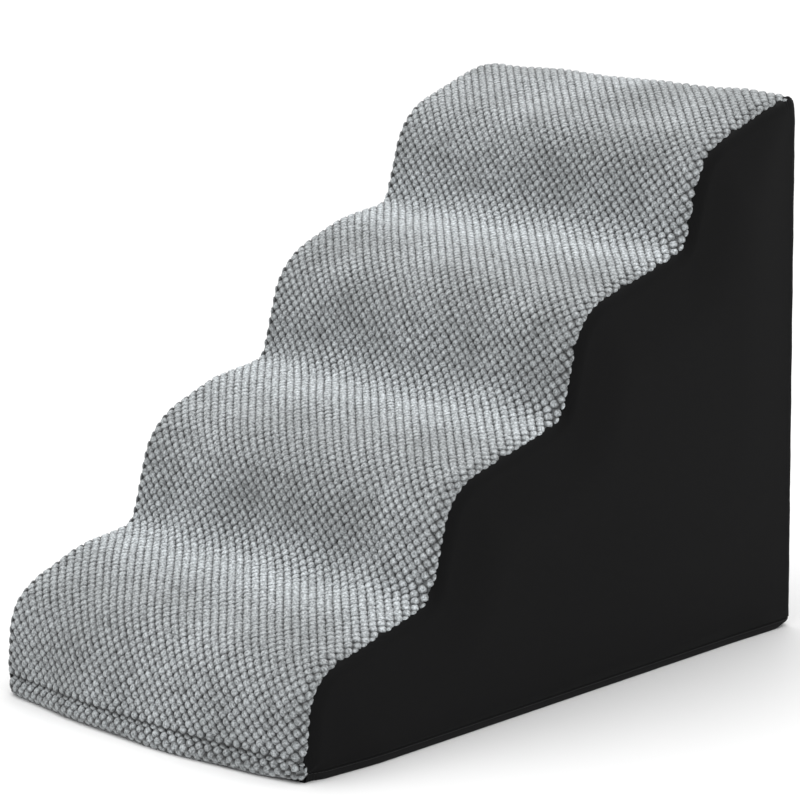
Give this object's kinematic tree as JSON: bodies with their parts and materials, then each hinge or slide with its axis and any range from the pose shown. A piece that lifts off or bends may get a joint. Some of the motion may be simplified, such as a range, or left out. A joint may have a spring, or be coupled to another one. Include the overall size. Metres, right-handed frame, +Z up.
{
  "type": "pet ramp",
  "caption": "Foam pet ramp of rounded rising tiers in a zip-off cover: nubby plush over the treads, smooth cloth sides and rear, non-slip base.",
  "frame": {"origin": "on the floor, under the middle of the ramp's overall box, zipper pull included", "axes": "+Z up, +Y from the low front foot to the tall rear, +X to the right when climbing"},
  "size_m": [0.4, 0.715, 0.54],
  "materials": {
    "foam": "matte",
    "liner": "matte",
    "plush": "matte",
    "smooth_cloth": "matte",
    "binding": "matte",
    "base_cloth": "matte",
    "grip": "matte",
    "tape": "matte",
    "coil": "satin",
    "zip_metal": "satin"
  },
  "bodies": {
    "covered_foam": {"foam_tier_1": "foam", "foam_tier_2": "foam", "foam_tier_3": "foam", "foam_tier_4": "foam", "inner_liner_wrap": "liner", "inner_liner_left": "liner", "inner_liner_right": "liner", "tread_panel": "plush", "front_hem": "plush", "left_side_panel": "smooth_cloth", "right_side_panel": "smooth_cloth", "rear_upper_panel": "smooth_cloth", "rear_lower_panel": "smooth_cloth", "left_hem": "binding", "right_hem": "binding", "rear_hem": "binding", "base_panel": "base_cloth", "grip_dots": "grip", "zipper_tape_upper": "tape", "zipper_tape_lower": "tape", "zipper_coil_upper": "coil", "zipper_coil_lower": "coil", "zipper_bottom_stop": "zip_metal", "zipper_top_stops": "zip_metal"},
    "slider": {"zipper_slider": "zip_metal"},
    "pull": {"zipper_pull": "zip_metal"}
  },
  "joints": [
    {"name": "zip_open", "type": "slide", "parent": "covered_foam", "child": "slider", "axis": [-1, 0, 0], "range_m": [0, 0.335], "deforming": ["zipper_coil_upper", "zipper_coil_lower"]},
    {"name": "pull_flip", "type": "hinge", "parent": "slider", "child": "pull", "pos_m": [0.1677, 0.35583, 0.058], "axis": [0, 0, 1], "range_deg": [0, 170]}
  ]
}
